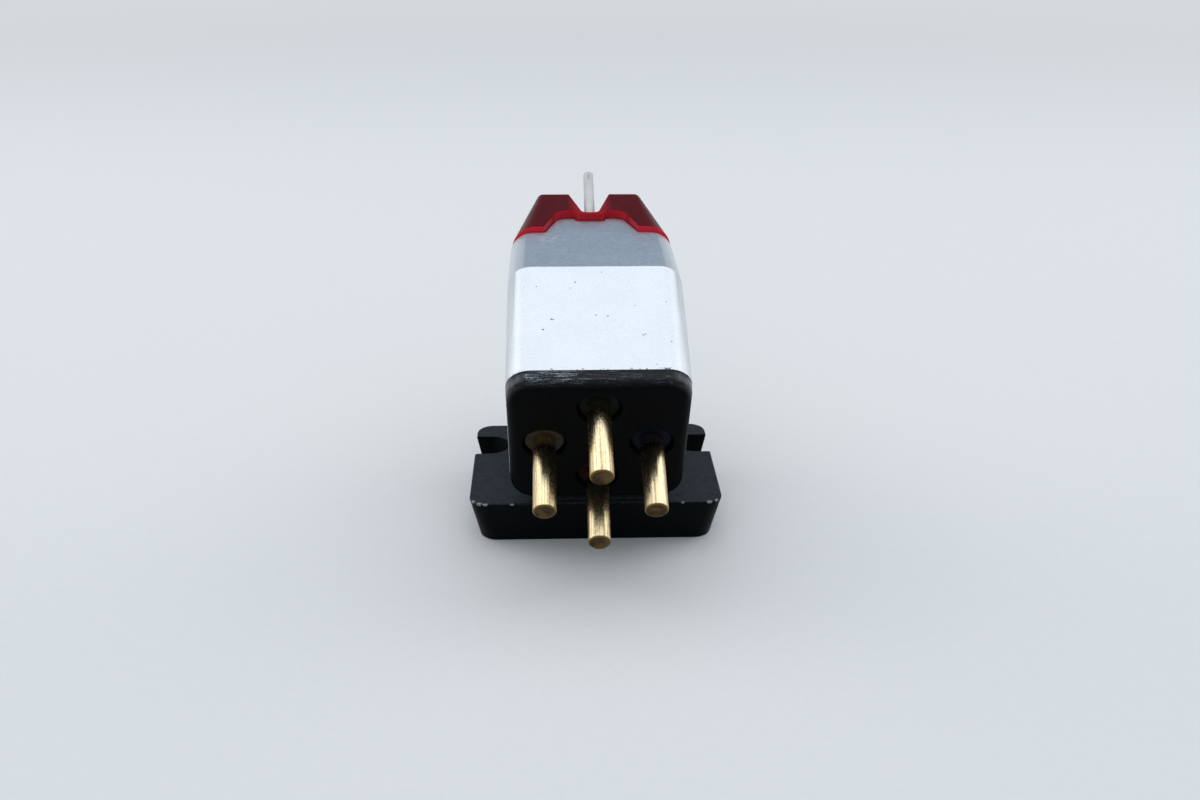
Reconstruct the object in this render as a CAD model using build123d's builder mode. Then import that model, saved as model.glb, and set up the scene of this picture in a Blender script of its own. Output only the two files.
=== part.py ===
"""Moving-magnet turntable cartridge, lying upside down on its mounting face.

The mounting face is z = 0 and the screw line is y = 0. The stylus points to +Y and
away from the mounting face, and the terminal pins point to -Y. The generator, the
pins and the cantilever share one axis, tilted to the mounting face.
"""
import os
from math import cos, radians, sin, tan

from build123d import *

os.makedirs("parts", exist_ok=True)

# Standard half-inch mount and the tilted generator axis
SCREW_SPACING = 12.7
SCREW_SLOT_WIDTH = 2.4
NUT_CLEARANCE_RADIUS = 2.6
STYLUS_REACH = 9.525
AXIS_TILT = 26.0
AXIS_LENGTH = 21.6

# Die-cast mounting flange with its wedge pedestal
FLANGE_WIDTH = 14.6
FLANGE_THICKNESS = 2.65
FLANGE_FRONT = 2.9
FLANGE_LEDGE = 0.15
FLANGE_CORNER = 1.0
FLANGE_DRAFT = 12.0
FLANGE_EDGE = 0.12
SEAT_STEP = 0.17
PEDESTAL_SETBACK = 1.0
BOSS_WIDTH = 2.4
BOSS_LENGTH = 4.0

# Silver shell, a tilted box cut level under the stylus
BODY_WIDTH = 9.8
BODY_ABOVE_AXIS = 4.9
BODY_BELOW_AXIS = 5.1
SHELL_WALL = 0.6
SHELL_EDGE = 1.35
SHELL_BELLY_EDGE = 1.5
SLOPE_LENGTH = 7.65
LEVEL_LENGTH = 6.7

# Tongue of the level face, with a dip and a groove over the cantilever
TONGUE_LENGTH = 3.12
TONGUE_BASE_WIDTH = 5.6
TONGUE_TIP_WIDTH = 3.9
TONGUE_CORNER = 0.92
DIP_WIDTH = 1.9
DIP_DEPTH = 0.62
DIP_CORNER = 0.28
TONGUE_GROOVE_DIAMETER = 1.2

# Black rear plug with four counterbored terminals in a diamond
PLUG_PROUD = 1.0
PLUG_STEP = 0.05
PLUG_EDGE = 0.5
SPIGOT_DEPTH = 2.3
PIN_DIAMETER = 1.25
PIN_ROOT_DIAMETER = 0.7
PIN_EXPOSED = 4.5
PIN_PITCH = 5.8
PIN_TIP_CHAMFER = 0.13
PIN_TAIL_LENGTH = 0.6
COUNTERBORE_DIAMETER = 2.4
COUNTERBORE_DEPTH = 0.5
DISC_THICKNESS = 0.25
DISC_GAP = 0.15

# Generator: two yokes, four poles, four coils, a screen and the front carrier
POLE_SIZE = 0.9
POLE_TIP_GAP = 0.9
POLE_COVER = 0.2
YOKE_THICKNESS = 0.7
YOKE_CLEARANCE = 0.3
COIL_GAP = 0.2
BOBBIN_FLANGE = 0.35
BARREL_DIAMETER = 1.7
WINDING_RECESS = 0.2
SCREEN_THICKNESS = 0.25
CARRIER_RECESS = 0.6

# Red stylus holder with its plug, cheeks and notch
HOLDER_PROUD = 0.35
HOLDER_LENGTH = 6.65
HOLDER_TOP_SLOPE = 3.0
HOLDER_BASE_WIDTH = 9.6
HOLDER_NOSE_WIDTH = 6.65
HOLDER_NOSE_LEAN = 0.6
HOLDER_NOSE_DEPTH = 5.9
HOLDER_BASE_EDGE = 1.4
HOLDER_NOSE_EDGE = 0.4
HOLDER_NOSE_FILLET = 0.25
NOTCH_APEX = 2.8
NOTCH_APEX_WIDTH = 1.0
NOTCH_APEX_CORNER = 0.35
NOTCH_MOUTH_WIDTH = 2.7
NOTCH_DEPTH = 4.1
STYLUS_PLUG_WIDTH = 2.6
STYLUS_PLUG_LENGTH = 3.1
STYLUS_PLUG_HEIGHT = 4.4
STYLUS_PLUG_DROP = 0.4

# Suspension along the axis, set out from the pivot
CANTILEVER_DIAMETER = 0.65
CANTILEVER_WALL = 0.08
CANTILEVER_OVERHANG = 0.75
PIVOT_SETBACK = 0.28
DAMPER_LENGTH = 0.6
DAMPER_CLEARANCE = 0.08
SLEEVE_DIAMETER = 2.0
SLEEVE_WALL = 0.22
SLEEVE_LIP = 0.25
MAGNET_DIAMETER = 1.0
MAGNET_LENGTH = 1.0
MAGNET_GAP = 0.1
WIRE_DIAMETER = 0.16
WIRE_LENGTH = 0.5
ANCHOR_LENGTH = 0.4
TUNNEL_DIAMETER = 1.4
DIAMOND_HEIGHT = 0.35
DIAMOND_SHANK = 0.1
DIAMOND_DIAMETER = 0.24
DIAMOND_POINT = 0.05

# Clearances of pieces that slide, of pieces that are fitted, and of pieces pressed together
SLIDE_CLEARANCE = 0.08
FIT_CLEARANCE = 0.05
PRESS_CLEARANCE = 0.01

ALONG_Y = cos(radians(AXIS_TILT))
ALONG_Z = sin(radians(AXIS_TILT))

# The plug face, which the tilted pieces are measured from
rear_y = STYLUS_REACH - AXIS_LENGTH * ALONG_Y
rear_z = FLANGE_THICKNESS + SEAT_STEP + BODY_BELOW_AXIS * ALONG_Y
rear_face = Plane(origin=(0, rear_y, rear_z), x_dir=(1, 0, 0), z_dir=(0, -ALONG_Y, -ALONG_Z))
generator_axis = Axis((0, rear_y, rear_z), (0, ALONG_Y, ALONG_Z))


def station(depth: float) -> Plane:
    """Plane square to the axis, at a depth ahead of the plug face, facing the rear."""
    return rear_face.offset(-depth)


def side_point(depth: float, height: float) -> tuple[float, float]:
    """(y, z) of a point at a depth along the axis and a height over it."""
    y = rear_y + depth * ALONG_Y - height * ALONG_Z
    z = rear_z + depth * ALONG_Z + height * ALONG_Y
    return y, z


def depth_under(level: float, height: float) -> float:
    """Depth at which the line at that height over the axis meets a level plane."""
    return (level - rear_z - height * ALONG_Y) / ALONG_Z


def line_z(y: float, height: float) -> float:
    """Level of the line at that height over the axis, at a place along Y."""
    start_y, start_z = side_point(0, height)
    return start_z + (y - start_y) * tan(radians(AXIS_TILT))


# Places that several pieces share
belly = -BODY_BELOW_AXIS
belly_rear_y, belly_rear_z = side_point(0, belly)
fold_y, level_z = side_point(PLUG_PROUD + SLOPE_LENGTH, BODY_ABOVE_AXIS)
front_y = fold_y + LEVEL_LENGTH
inner_above = BODY_ABOVE_AXIS - SHELL_WALL
inner_belly = belly + SHELL_WALL
inner_width = BODY_WIDTH - 2 * SHELL_WALL
inner_level_z = level_z - SHELL_WALL
tongue_front = front_y + TONGUE_LENGTH
plug_end = PLUG_PROUD + SPIGOT_DEPTH
pivot_depth = (front_y - PIVOT_SETBACK - rear_y) / ALONG_Y
boss_seat = Plane(
    origin=(0, *side_point(PLUG_PROUD + SLOPE_LENGTH / 2, belly)),
    x_dir=(1, 0, 0),
    z_dir=(0, -ALONG_Z, ALONG_Y),
)


# Mounting flange: tapered plate, open screw slots, wedge pedestal and locating boss
flange_rear = belly_rear_y - FLANGE_LEDGE
pedestal_front = front_y - PEDESTAL_SETBACK
pedestal_width = SCREW_SPACING - 2 * NUT_CLEARANCE_RADIUS
with BuildPart() as flange:
    with BuildSketch(Plane.XY.offset(FLANGE_THICKNESS)):
        with Locations((0, (FLANGE_FRONT + flange_rear) / 2)):
            RectangleRounded(FLANGE_WIDTH, FLANGE_FRONT - flange_rear, FLANGE_CORNER)
    extrude(amount=-FLANGE_THICKNESS, taper=FLANGE_DRAFT)
    fillet(flange.faces().sort_by(Axis.Z)[-1].edges(), FLANGE_EDGE)
    with BuildSketch(Plane.XY):
        for side in (-1, 1):
            with Locations((side * SCREW_SPACING / 2, 0)):
                Circle(SCREW_SLOT_WIDTH / 2)
            with Locations((side * (SCREW_SPACING + FLANGE_WIDTH) / 2, 0)):
                Rectangle(FLANGE_WIDTH, SCREW_SLOT_WIDTH)
    extrude(amount=FLANGE_THICKNESS, mode=Mode.SUBTRACT)
    with BuildSketch(Plane.YZ):
        with BuildLine():
            Polyline(
                (belly_rear_y, FLANGE_THICKNESS),
                (belly_rear_y, belly_rear_z),
                (pedestal_front, line_z(pedestal_front, belly)),
                (pedestal_front, FLANGE_THICKNESS),
                close=True,
            )
        make_face()
    extrude(amount=pedestal_width / 2, both=True)
    with BuildSketch(boss_seat):
        Rectangle(BOSS_WIDTH, BOSS_LENGTH)
    extrude(amount=SHELL_WALL - FIT_CLEARANCE)
flange.part.label = "mounting_flange"
export_step(flange.part, "parts/mounting_flange.step")


# Plan of the tongue, which the holder's recess follows
with BuildSketch(Plane.XY.offset(inner_level_z)) as tongue_plan:
    with BuildLine():
        Polyline(
            (-TONGUE_BASE_WIDTH / 2, front_y - SHELL_WALL),
            (-TONGUE_BASE_WIDTH / 2, front_y),
            (-TONGUE_TIP_WIDTH / 2, tongue_front),
            (TONGUE_TIP_WIDTH / 2, tongue_front),
            (TONGUE_BASE_WIDTH / 2, front_y),
            (TONGUE_BASE_WIDTH / 2, front_y - SHELL_WALL),
            close=True,
        )
    make_face()
    fillet(tongue_plan.vertices().group_by(Axis.Y)[-1], TONGUE_CORNER)
    with Locations((0, tongue_front)):
        Rectangle(DIP_WIDTH, 2 * DIP_DEPTH, mode=Mode.SUBTRACT)
    dip_middle = (0, tongue_front - DIP_DEPTH / 2)
    fillet(tongue_plan.vertices().sort_by_distance(dip_middle)[:4], DIP_CORNER)

# Shell: tilted box with a level face, its long edges rounded, open at both ends
with BuildPart() as shell:
    with BuildSketch(Plane.YZ):
        with BuildLine():
            Polyline(
                side_point(PLUG_PROUD, belly),
                side_point(PLUG_PROUD, BODY_ABOVE_AXIS),
                (fold_y, level_z),
                (front_y, level_z),
                (front_y, line_z(front_y, belly)),
                close=True,
            )
        make_face()
    extrude(amount=BODY_WIDTH / 2, both=True)
    tilted_edges = shell.faces().filter_by(Axis.X).edges().filter_by(generator_axis)
    fillet(tilted_edges.group_by(Axis.Z)[0], SHELL_BELLY_EDGE)
    side_edges = shell.faces().filter_by(Axis.X).edges()
    slope_edges = side_edges.filter_by(generator_axis).group_by(Axis.Z)[-1]
    fillet(slope_edges + side_edges.filter_by(Axis.Y), SHELL_EDGE)
    with BuildSketch(Plane.YZ):
        with BuildLine():
            Polyline(
                side_point(0, inner_belly),
                side_point(0, inner_above),
                side_point(depth_under(inner_level_z, inner_above), inner_above),
                (tongue_front, inner_level_z),
                (tongue_front, line_z(tongue_front, inner_belly)),
                close=True,
            )
        make_face()
    extrude(amount=inner_width / 2, both=True, mode=Mode.SUBTRACT)
    with BuildSketch(boss_seat):
        Rectangle(BOSS_WIDTH + 2 * FIT_CLEARANCE, BOSS_LENGTH + 2 * FIT_CLEARANCE)
    extrude(amount=SHELL_WALL, mode=Mode.SUBTRACT)
    extrude(tongue_plan.sketch, amount=SHELL_WALL)
    with BuildSketch(station(AXIS_LENGTH)):
        Circle(TONGUE_GROOVE_DIAMETER / 2)
    extrude(amount=AXIS_LENGTH - pivot_depth, mode=Mode.SUBTRACT)
shell.part.label = "body_shell"
export_step(shell.part, "parts/body_shell.step")


# Rear plug: rounded face, spigot in the shell and four counterbored terminal holes
body_middle = (BODY_ABOVE_AXIS - BODY_BELOW_AXIS) / 2
inner_height = inner_above - inner_belly
with BuildPart() as plug:
    with BuildSketch(rear_face) as plug_outline:
        with Locations((0, body_middle)):
            Rectangle(BODY_WIDTH, BODY_ABOVE_AXIS + BODY_BELOW_AXIS)
        fillet(plug_outline.vertices().group_by(Axis.Y)[-1], SHELL_EDGE)
        fillet(plug_outline.vertices().group_by(Axis.Y)[0], SHELL_BELLY_EDGE)
        offset(amount=-PLUG_STEP, mode=Mode.REPLACE)
    extrude(amount=-PLUG_PROUD)
    fillet(plug.faces().sort_by(generator_axis)[0].edges(), PLUG_EDGE)
    with BuildSketch(station(PLUG_PROUD)):
        with Locations((0, body_middle)):
            Rectangle(inner_width - 2 * FIT_CLEARANCE, inner_height - 2 * FIT_CLEARANCE)
    extrude(amount=-SPIGOT_DEPTH)
    with Locations(rear_face.location):
        with PolarLocations(PIN_PITCH / 2, 4):
            CounterBoreHole(
                PIN_ROOT_DIAMETER / 2 + PRESS_CLEARANCE,
                COUNTERBORE_DIAMETER / 2,
                COUNTERBORE_DEPTH,
            )
plug.part.label = "rear_plug"
export_step(plug.part, "parts/rear_plug.step")


# Terminal pins, each with its shoulder on a colour disc
shoulder_depth = COUNTERBORE_DEPTH - DISC_THICKNESS
TERMINALS = {"right": 0, "top": 90, "left": 180, "bottom": 270}
for side, angle in TERMINALS.items():
    pin_x = PIN_PITCH / 2 * cos(radians(angle))
    pin_height = PIN_PITCH / 2 * sin(radians(angle))
    pin_face = Plane(
        origin=(pin_x, *side_point(0, pin_height)), x_dir=(1, 0, 0), z_dir=rear_face.z_dir
    )
    with BuildPart() as pin:
        with BuildSketch(pin_face.offset(-shoulder_depth)):
            Circle(PIN_DIAMETER / 2)
        extrude(amount=shoulder_depth + PIN_EXPOSED)
        chamfer(pin.faces().sort_by(generator_axis)[0].edges(), PIN_TIP_CHAMFER)
        with BuildSketch(pin_face.offset(-shoulder_depth)):
            Circle(PIN_ROOT_DIAMETER / 2)
        extrude(amount=shoulder_depth - plug_end - PIN_TAIL_LENGTH)
    pin.part.label = f"terminal_pin_{side}"
    export_step(pin.part, f"parts/terminal_pin_{side}.step")

    with BuildPart() as disc:
        with BuildSketch(pin_face.offset(-COUNTERBORE_DEPTH)):
            Circle(COUNTERBORE_DIAMETER / 2 - DISC_GAP)
            Circle(PIN_ROOT_DIAMETER / 2 + PRESS_CLEARANCE, mode=Mode.SUBTRACT)
        extrude(amount=DISC_THICKNESS)
    disc.part.label = f"colour_disc_{side}"
    export_step(disc.part, f"parts/colour_disc_{side}.step")


# Generator stations along the axis
yoke_start = plug_end + PIN_TAIL_LENGTH + YOKE_CLEARANCE
pole_start = yoke_start + YOKE_THICKNESS
coil_start = pole_start + FIT_CLEARANCE
coil_top = inner_above - COIL_GAP
coil_bottom = inner_belly + COIL_GAP
coil_end = depth_under(inner_level_z - FIT_CLEARANCE, coil_top)
tip_start = coil_end + FIT_CLEARANCE
bobbin_width = (inner_width - SCREEN_THICKNESS) / 2 - 2 * COIL_GAP
coil_offset = SCREEN_THICKNESS / 2 + COIL_GAP + bobbin_width / 2
winding_diameter = bobbin_width - 2 * WINDING_RECESS
upper_leg = inner_above / 2
lower_leg = inner_belly / 2
pole_end = depth_under(inner_level_z - POLE_COVER, upper_leg + POLE_SIZE / 2)


def pole_outline(leg: float, sign: int) -> list[tuple[float, float]]:
    """Side outline of a pole: the leg in its coil, then the tip that turns to the axis."""
    leg_outer = leg + sign * POLE_SIZE / 2
    leg_inner = leg - sign * POLE_SIZE / 2
    return [
        side_point(pole_start, leg_inner),
        side_point(tip_start, leg_inner),
        side_point(tip_start, sign * POLE_TIP_GAP / 2),
        side_point(pole_end, sign * POLE_TIP_GAP / 2),
        side_point(pole_end, leg_outer),
        side_point(pole_start, leg_outer),
    ]


# Each channel has a yoke, and each of its two poles carries a bobbin and a winding
CHANNELS = {"left": -1, "right": 1}
LEVELS = {"upper": (upper_leg, 1), "lower": (lower_leg, -1)}
for channel, side in CHANNELS.items():
    pole_plane = Plane.YZ.offset(side * coil_offset)
    with BuildPart() as yoke:
        with BuildSketch(pole_plane):
            with BuildLine():
                Polyline(
                    side_point(yoke_start, lower_leg - POLE_SIZE / 2),
                    side_point(yoke_start, upper_leg + POLE_SIZE / 2),
                    side_point(pole_start, upper_leg + POLE_SIZE / 2),
                    side_point(pole_start, lower_leg - POLE_SIZE / 2),
                    close=True,
                )
            make_face()
        extrude(amount=POLE_SIZE / 2, both=True)
    yoke.part.label = f"yoke_{channel}"
    export_step(yoke.part, f"parts/yoke_{channel}.step")

    for level, (leg, sign) in LEVELS.items():
        with BuildPart() as pole:
            with BuildSketch(pole_plane):
                with BuildLine():
                    Polyline(*pole_outline(leg, sign), close=True)
                make_face()
            extrude(amount=POLE_SIZE / 2, both=True)
        pole.part.label = f"pole_{channel}_{level}"
        export_step(pole.part, f"parts/pole_{channel}_{level}.step")

        coil_centre = (side * coil_offset, leg)
        bobbin_height = 2 * (abs(leg) - COIL_GAP)
        with BuildPart() as bobbin:
            for flange_depth in (coil_start, coil_end - BOBBIN_FLANGE):
                with BuildSketch(station(flange_depth)):
                    with Locations(coil_centre):
                        Rectangle(bobbin_width, bobbin_height)
                extrude(amount=-BOBBIN_FLANGE)
            with BuildSketch(station(coil_start)):
                with Locations(coil_centre):
                    Circle(BARREL_DIAMETER / 2)
            extrude(amount=-(coil_end - coil_start))
            with BuildSketch(station(coil_start)):
                with Locations(coil_centre):
                    Rectangle(POLE_SIZE + 2 * PRESS_CLEARANCE, POLE_SIZE + 2 * PRESS_CLEARANCE)
            extrude(amount=-(coil_end - coil_start), mode=Mode.SUBTRACT)
        bobbin.part.label = f"bobbin_{channel}_{level}"
        export_step(bobbin.part, f"parts/bobbin_{channel}_{level}.step")

        winding_start = coil_start + BOBBIN_FLANGE + PRESS_CLEARANCE
        winding_end = coil_end - BOBBIN_FLANGE - PRESS_CLEARANCE
        with BuildPart() as winding:
            with BuildSketch(station(winding_start)):
                with Locations(coil_centre):
                    Circle(winding_diameter / 2)
                    Circle(BARREL_DIAMETER / 2 + PRESS_CLEARANCE, mode=Mode.SUBTRACT)
            extrude(amount=-(winding_end - winding_start))
        winding.part.label = f"winding_{channel}_{level}"
        export_step(winding.part, f"parts/winding_{channel}_{level}.step")


# Screen plate between the two channels
with BuildPart() as screen:
    with BuildSketch(Plane.YZ):
        with BuildLine():
            Polyline(
                side_point(yoke_start, coil_bottom),
                side_point(yoke_start, coil_top),
                side_point(coil_end, coil_top),
                side_point(coil_end, coil_bottom),
                close=True,
            )
        make_face()
    extrude(amount=SCREEN_THICKNESS / 2, both=True)
screen.part.label = "channel_screen"
export_step(screen.part, "parts/channel_screen.step")


# Carrier in the shell's mouth: holds the pole tips and guides the stylus plug
carrier_front = front_y - CARRIER_RECESS
carrier_level = inner_level_z - FIT_CLEARANCE
carrier_belly = inner_belly + FIT_CLEARANCE
carrier_back_top = (carrier_level - rear_z - tip_start * ALONG_Z) / ALONG_Y
socket_back = front_y - STYLUS_PLUG_LENGTH - FIT_CLEARANCE
stylus_plug_top = inner_level_z - STYLUS_PLUG_DROP
stylus_plug_middle = stylus_plug_top - STYLUS_PLUG_HEIGHT / 2
with BuildPart() as carrier:
    with BuildSketch(Plane.YZ):
        with BuildLine():
            Polyline(
                side_point(tip_start, carrier_belly),
                side_point(tip_start, carrier_back_top),
                (carrier_front, carrier_level),
                (carrier_front, line_z(carrier_front, carrier_belly)),
                close=True,
            )
        make_face()
    extrude(amount=inner_width / 2 - FIT_CLEARANCE, both=True)
    with BuildSketch(Plane.XZ.offset(-socket_back)):
        with Locations((0, stylus_plug_middle)):
            Rectangle(
                STYLUS_PLUG_WIDTH + 2 * SLIDE_CLEARANCE, STYLUS_PLUG_HEIGHT + 2 * SLIDE_CLEARANCE
            )
    extrude(amount=-(front_y - socket_back), mode=Mode.SUBTRACT)
    for side in CHANNELS.values():
        for leg, sign in LEVELS.values():
            with BuildSketch(Plane.YZ.offset(side * coil_offset)):
                with BuildLine():
                    Polyline(*pole_outline(leg, sign), close=True)
                make_face()
            extrude(amount=POLE_SIZE / 2 + PRESS_CLEARANCE, both=True, mode=Mode.SUBTRACT)
carrier.part.label = "pole_carrier"
export_step(carrier.part, "parts/pole_carrier.step")


# Suspension stations along the axis
damper_start = pivot_depth - DAMPER_LENGTH / 2
magnet_start = damper_start - MAGNET_GAP - MAGNET_LENGTH
anchor_start = magnet_start - WIRE_LENGTH - ANCHOR_LENGTH
sleeve_end = pivot_depth + DAMPER_LENGTH / 2 + SLEEVE_LIP
sleeve_bore = SLEEVE_DIAMETER - 2 * SLEEVE_WALL

# Stylus holder: tapered block with rounded upper edges, a plug, tongue recess, notch and bore
holder_back = front_y + SLIDE_CLEARANCE
holder_front = front_y + HOLDER_LENGTH
holder_top = level_z + HOLDER_PROUD
nose_top = holder_top + (holder_front - holder_back) * tan(radians(HOLDER_TOP_SLOPE))
holder_height = holder_top - line_z(holder_back, belly)
nose_plane = Plane(
    origin=(0, holder_front, nose_top),
    x_dir=(1, 0, 0),
    z_dir=(0, -HOLDER_NOSE_DEPTH, HOLDER_NOSE_LEAN),
)
notch_apex_y = front_y + NOTCH_APEX
with BuildPart() as holder:
    with BuildSketch(Plane.XZ.offset(-holder_back)) as holder_base:
        with Locations((0, holder_top - holder_height / 2)):
            Rectangle(HOLDER_BASE_WIDTH, holder_height)
        fillet(holder_base.vertices().group_by(Axis.Y)[-1], HOLDER_BASE_EDGE)
    with BuildSketch(nose_plane) as holder_nose:
        with Locations((0, -HOLDER_NOSE_DEPTH / 2)):
            Rectangle(HOLDER_NOSE_WIDTH, HOLDER_NOSE_DEPTH)
        fillet(holder_nose.vertices().group_by(Axis.Y)[-1], HOLDER_NOSE_EDGE)
    loft(ruled=True)
    fillet(holder.faces().sort_by(Axis.Y)[-1].edges(), HOLDER_NOSE_FILLET)
    with BuildSketch(Plane.XZ.offset(-(front_y - STYLUS_PLUG_LENGTH))):
        with Locations((0, stylus_plug_middle)):
            Rectangle(STYLUS_PLUG_WIDTH, STYLUS_PLUG_HEIGHT)
    extrude(amount=-(STYLUS_PLUG_LENGTH + SLEEVE_DIAMETER))
    with BuildSketch(Plane.XY.offset(inner_level_z - SLIDE_CLEARANCE)):
        add(tongue_plan.sketch.moved(Location((0, 0, -inner_level_z))))
        offset(amount=SLIDE_CLEARANCE)
    extrude(amount=SHELL_WALL + HOLDER_PROUD + HOLDER_LENGTH, mode=Mode.SUBTRACT)
    with BuildSketch(Plane.XY.offset(nose_top - NOTCH_DEPTH)) as notch:
        with BuildLine():
            Polyline(
                (-NOTCH_APEX_WIDTH / 2, notch_apex_y),
                (-NOTCH_MOUTH_WIDTH / 2, holder_front),
                (NOTCH_MOUTH_WIDTH / 2, holder_front),
                (NOTCH_APEX_WIDTH / 2, notch_apex_y),
                close=True,
            )
        make_face()
        fillet(notch.vertices().group_by(Axis.Y)[0], NOTCH_APEX_CORNER)
    extrude(amount=NOTCH_DEPTH, mode=Mode.SUBTRACT)
    with BuildSketch(station(anchor_start)):
        Circle(SLEEVE_DIAMETER / 2 + PRESS_CLEARANCE)
    extrude(amount=-(sleeve_end - anchor_start), mode=Mode.SUBTRACT)
    with BuildSketch(station(sleeve_end)):
        Circle(TUNNEL_DIAMETER / 2)
    extrude(amount=-(notch_apex_y - front_y + TUNNEL_DIAMETER), mode=Mode.SUBTRACT)
holder.part.label = "stylus_holder"
export_step(holder.part, "parts/stylus_holder.step")


# Sleeve, with the anchor of the suspension wire in its rear end
with BuildPart() as sleeve:
    with BuildSketch(station(anchor_start)):
        Circle(SLEEVE_DIAMETER / 2)
        Circle(sleeve_bore / 2, mode=Mode.SUBTRACT)
    extrude(amount=-(sleeve_end - anchor_start))
sleeve.part.label = "stylus_sleeve"
export_step(sleeve.part, "parts/stylus_sleeve.step")

with BuildPart() as anchor:
    with BuildSketch(station(anchor_start)):
        Circle(sleeve_bore / 2 - PRESS_CLEARANCE)
        Circle(WIRE_DIAMETER / 2 + PRESS_CLEARANCE, mode=Mode.SUBTRACT)
    extrude(amount=-ANCHOR_LENGTH)
anchor.part.label = "wire_anchor"
export_step(anchor.part, "parts/wire_anchor.step")

with BuildPart() as wire:
    with BuildSketch(station(anchor_start)):
        Circle(WIRE_DIAMETER / 2)
    extrude(amount=-(ANCHOR_LENGTH + WIRE_LENGTH - FIT_CLEARANCE))
wire.part.label = "suspension_wire"
export_step(wire.part, "parts/suspension_wire.step")


# Rubber damper that the cantilever swings in
with BuildPart() as damper:
    with BuildSketch(station(damper_start)):
        Circle(sleeve_bore / 2 - DAMPER_CLEARANCE)
        Circle(CANTILEVER_DIAMETER / 2 + DAMPER_CLEARANCE, mode=Mode.SUBTRACT)
    extrude(amount=-DAMPER_LENGTH)
damper.part.label = "rubber_damper"
export_step(damper.part, "parts/rubber_damper.step")


# Cantilever tube with its ring magnet and its diamond
tip_z = rear_z + AXIS_LENGTH * ALONG_Z
tube_top = tip_z + CANTILEVER_DIAMETER / 2 / ALONG_Y
with BuildPart() as cantilever:
    with BuildSketch(station(magnet_start)):
        Circle(CANTILEVER_DIAMETER / 2)
        Circle(CANTILEVER_DIAMETER / 2 - CANTILEVER_WALL, mode=Mode.SUBTRACT)
    extrude(amount=-(AXIS_LENGTH + CANTILEVER_OVERHANG - magnet_start))
    with BuildSketch(Plane.XY.offset(tip_z)):
        with Locations((0, STYLUS_REACH)):
            Circle(DIAMOND_DIAMETER / 2 + PRESS_CLEARANCE)
    extrude(amount=CANTILEVER_DIAMETER, mode=Mode.SUBTRACT)
cantilever.part.label = "cantilever_tube"
export_step(cantilever.part, "parts/cantilever_tube.step")

with BuildPart() as magnet:
    with BuildSketch(station(magnet_start)):
        Circle(MAGNET_DIAMETER / 2)
        Circle(CANTILEVER_DIAMETER / 2 + PRESS_CLEARANCE, mode=Mode.SUBTRACT)
    extrude(amount=-MAGNET_LENGTH)
magnet.part.label = "ring_magnet"
export_step(magnet.part, "parts/ring_magnet.step")

with BuildPart() as diamond:
    with BuildSketch(Plane.XZ.offset(-STYLUS_REACH)):
        with BuildLine():
            Polyline(
                (0, tip_z),
                (DIAMOND_DIAMETER / 2, tip_z),
                (DIAMOND_DIAMETER / 2, tube_top + DIAMOND_SHANK),
                (DIAMOND_POINT / 2, tube_top + DIAMOND_HEIGHT),
                (0, tube_top + DIAMOND_HEIGHT),
                close=True,
            )
        make_face()
    revolve(axis=Axis((0, STYLUS_REACH, 0), (0, 0, 1)))
diamond.part.label = "diamond_tip"
export_step(diamond.part, "parts/diamond_tip.step")
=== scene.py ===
import functools
import logging
import math
from collections.abc import Callable
from dataclasses import dataclass, field
from enum import Enum

import bmesh
import bpy
from mathutils import Matrix, Vector


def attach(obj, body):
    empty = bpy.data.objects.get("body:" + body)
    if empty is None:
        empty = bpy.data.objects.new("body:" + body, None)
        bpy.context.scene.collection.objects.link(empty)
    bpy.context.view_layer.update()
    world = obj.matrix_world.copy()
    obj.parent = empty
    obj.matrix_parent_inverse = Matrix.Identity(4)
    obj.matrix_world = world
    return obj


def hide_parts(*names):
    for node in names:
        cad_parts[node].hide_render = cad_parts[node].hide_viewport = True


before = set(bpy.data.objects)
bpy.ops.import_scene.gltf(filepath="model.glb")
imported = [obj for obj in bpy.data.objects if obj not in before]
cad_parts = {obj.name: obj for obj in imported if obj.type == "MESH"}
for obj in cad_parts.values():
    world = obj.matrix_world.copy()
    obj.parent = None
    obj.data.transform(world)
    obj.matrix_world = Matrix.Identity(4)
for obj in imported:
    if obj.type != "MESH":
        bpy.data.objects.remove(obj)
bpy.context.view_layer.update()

log = logging.getLogger("cartridge")
Triple = tuple[float, float, float]
MM = 0.001
# Places closer than this count as one, in millimetres
NEAR = 0.01
# Share of a direction from which a face looks along it
FACING = 0.9
AHEAD, BEHIND, UP = (0, 1, 0), (0, -1, 0), (0, 0, 1)


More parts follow.
